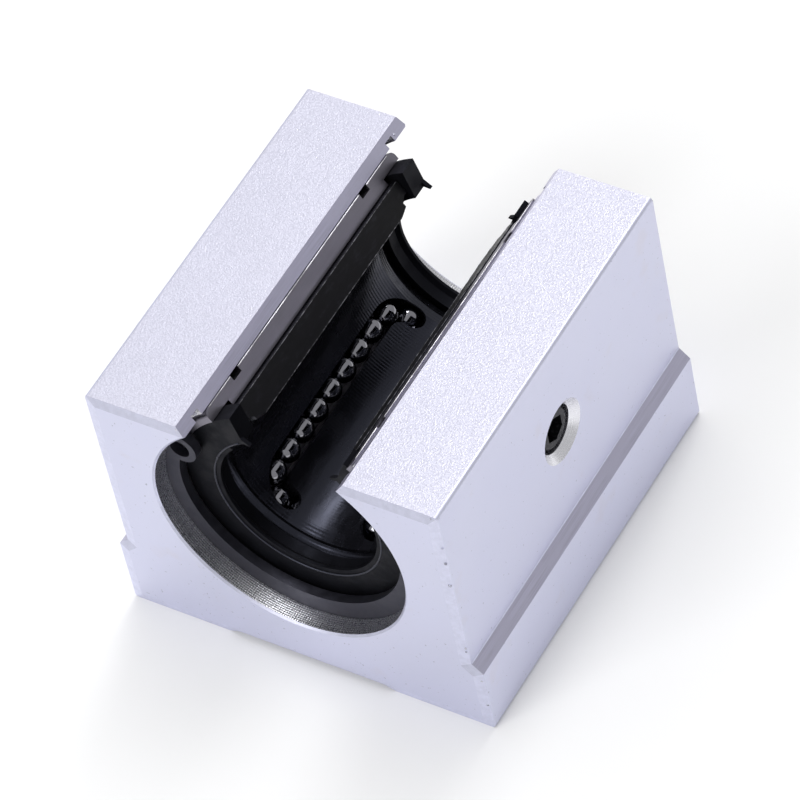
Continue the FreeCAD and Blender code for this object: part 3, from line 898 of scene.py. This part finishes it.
class BEARING_OT_seal_rims(bpy.types.Operator):
    """Round the inner rims of both seals"""

    bl_idname = "bearing.seal_rims"
    bl_label = "Round seal rims"

    def execute(self, context):
        finish = rubber_edge_painted_highlight(context.scene.bearing_look)
        front = round_bead(context, "seal_rim_front", RIM_RADIUS, 0.0,
                           context.scene.bearing_sizes.rim_thickness, turn=RIM_SWEEP)
        back = copied(context, front, "seal_rim_back")
        for bead, along in ((front, -RIM_PLACE), (back, RIM_PLACE)):
            move(bead, 0.0, along, 0.0)
            turn_to(bead, math.pi + SEAL_TURN - 0.5 * RIM_SWEEP)
            settle(bead, finish)
        return {"FINISHED"}


class BEARING_OT_rings(bpy.types.Operator):
    """Finish the retaining rings"""

    bl_idname = "bearing.rings"
    bl_label = "Finish retaining rings"

    def execute(self, context):
        finish = phosphated_spring(context.scene.bearing_look)
        for end in ("front", "back"):
            dress(f"retaining_ring_{end}", finish)
        return {"FINISHED"}


class BEARING_OT_set_screw(bpy.types.Operator):
    """Finish the set screw"""

    bl_idname = "bearing.set_screw"
    bl_label = "Finish set screw"

    def execute(self, context):
        dress("set_screw", oxide_screw(context.scene.bearing_look))
        return {"FINISHED"}


# Each lamp's name, direction from the block, width and height in metres, and strength.
LAMPS = (("key_light", (-0.05, 0.35, 0.93), (0.4, 1.5), 5.5),
         ("back_light", (-0.5, 0.51, 0.7), (1.2, 1.2), 0.6),
         ("front_light", (-0.3, -0.8, 0.7), (0.8, 0.8), 4.2))
FLOOR_WIDTH = 6.0
FLOOR_GAP = 0.02 * MILLIMETRE


def softbox(context, name, direction, size, strength):
    """An oblong lamp that faces the block from a direction."""
    back = Vector(direction).normalized()
    place = Vector((0.0, 0.0, SHAFT_HEIGHT)) + back * context.scene.bearing_studio.lamp_distance
    turn = (-back).to_track_quat("-Z", "Y").to_euler()
    bpy.ops.object.light_add(type="AREA", location=place, rotation=turn)
    lamp = active(context)
    lamp.name = name
    lamp.data.shape = "RECTANGLE"
    lamp.data.size, lamp.data.size_y = size
    lamp.data.energy = strength * math.pi * size[0] * size[1]


class BEARING_OT_studio(bpy.types.Operator):
    """Set up the pale floor, the soft lights and the camera"""

    bl_idname = "bearing.studio"
    bl_label = "Build studio"

    def execute(self, context):
        studio = context.scene.bearing_studio
        bpy.ops.object.select_all(action="DESELECT")
        bpy.ops.mesh.primitive_plane_add(size=FLOOR_WIDTH, location=(0.0, 0.0, BLOCK_LOW.z - FLOOR_GAP))
        floor = active(context)
        floor.name = "studio_floor"
        paper = Finish("studio_paper", context.scene.bearing_look.paper, 0.0, 0.9, 0.1)
        paper.bump(paper.noise(1.0 * MILLIMETRE), 0.01 * MILLIMETRE)
        floor.data.materials.append(paper.done())

        for lamp in LAMPS:
            softbox(context, *lamp)

        world = bpy.data.worlds.new("studio_sky")
        world.use_nodes = True
        sky = world.node_tree.nodes["Background"]
        sky.inputs["Color"].default_value = (1.0, 1.0, 1.0, 1.0)
        sky.inputs["Strength"].default_value = studio.sky
        context.scene.world = world
        context.scene.view_settings.view_transform = "Standard"

        level = math.cos(studio.elevation)
        back = Vector((math.sin(studio.azimuth) * level, -math.cos(studio.azimuth) * level,
                       math.sin(studio.elevation)))
        turn = (-back).to_track_quat("-Z", "Y").to_matrix() @ Matrix.Rotation(studio.roll, 3, "Z")
        place = Vector(studio.target) + back * studio.distance
        bpy.ops.object.camera_add(location=place, rotation=turn.to_euler())
        camera = active(context)
        camera.name = "camera"
        camera.data.lens = studio.lens
        camera.data.clip_start = 0.05
        camera.data.clip_end = 20.0
        context.scene.camera = camera
        return {"FINISHED"}


STEPS = (BEARING_OT_housing, BEARING_OT_fixing_threads, BEARING_OT_ledge_fillets, BEARING_OT_edge_wear,
         BEARING_OT_sleeve, BEARING_OT_sleeve_edges, BEARING_OT_retainer, BEARING_OT_cage_flash,
         BEARING_OT_balls, BEARING_OT_seals, BEARING_OT_seal_rims, BEARING_OT_rings, BEARING_OT_set_screw,
         BEARING_OT_studio)


class BEARING_PT_panel(bpy.types.Panel):
    """Lists the finishing steps with their colours and sizes"""

    bl_idname = "BEARING_PT_panel"
    bl_label = "Linear bearing block"
    bl_space_type = "VIEW_3D"
    bl_region_type = "UI"
    bl_category = "Bearing"

    def draw(self, context):
        for group in GROUPS:
            settings = getattr(context.scene, group)
            box = self.layout.box()
            for name in settings.__annotations__:
                box.prop(settings, name)
        for step in STEPS:
            self.layout.operator(step.bl_idname)


GROUPS = {"bearing_look": BearingLook, "bearing_sizes": BearingSizes, "bearing_studio": BearingStudio}


def register():
    for kind in (*GROUPS.values(), *STEPS, BEARING_PT_panel):
        bpy.utils.register_class(kind)
    for name, kind in GROUPS.items():
        setattr(bpy.types.Scene, name, PointerProperty(type=kind))


def unregister():
    for name in GROUPS:
        delattr(bpy.types.Scene, name)
    for kind in reversed((*GROUPS.values(), *STEPS, BEARING_PT_panel)):
        bpy.utils.unregister_class(kind)


def main():
    """Runs every step in order."""
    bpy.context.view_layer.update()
    register()
    for step in STEPS:
        group, name = step.bl_idname.split(".")
        getattr(getattr(bpy.ops, group), name)()


if __name__ == "__main__":
    main()
